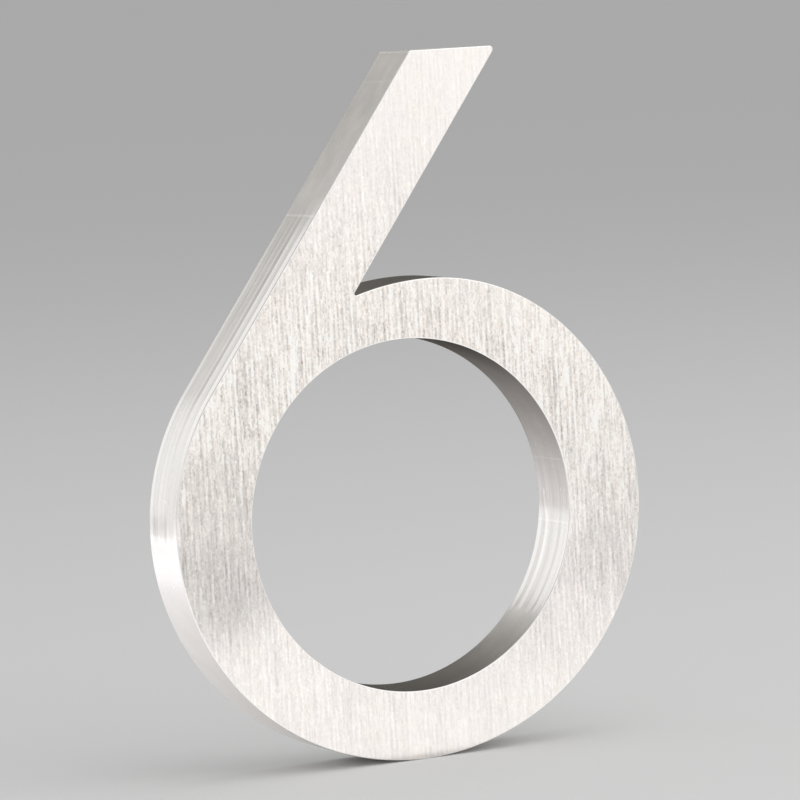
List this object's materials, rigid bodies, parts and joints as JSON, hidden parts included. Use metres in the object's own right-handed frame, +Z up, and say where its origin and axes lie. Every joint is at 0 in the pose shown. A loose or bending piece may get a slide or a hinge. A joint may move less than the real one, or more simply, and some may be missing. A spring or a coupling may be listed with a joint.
{
  "type": "house number",
  "caption": "Floating house number: the numeral six milled from thick brushed aluminium plate, with blind tapped holes in its flat back for wall studs.",
  "frame": {"origin": "centre of the bowl's round counter, on the flat back that faces the wall", "axes": "+Z up the numeral, +X to the right of someone who reads it, +Y into the wall, so the face that shows looks along -Y"},
  "size_m": [0.0926, 0.012, 0.127],
  "materials": {
    "brushed_aluminium": "straight brushed face along the numeral's height, satin milled side walls, broken edges"
  },
  "bodies": {
    "root": {"numeral": "brushed_aluminium"}
  },
  "joints": []
}
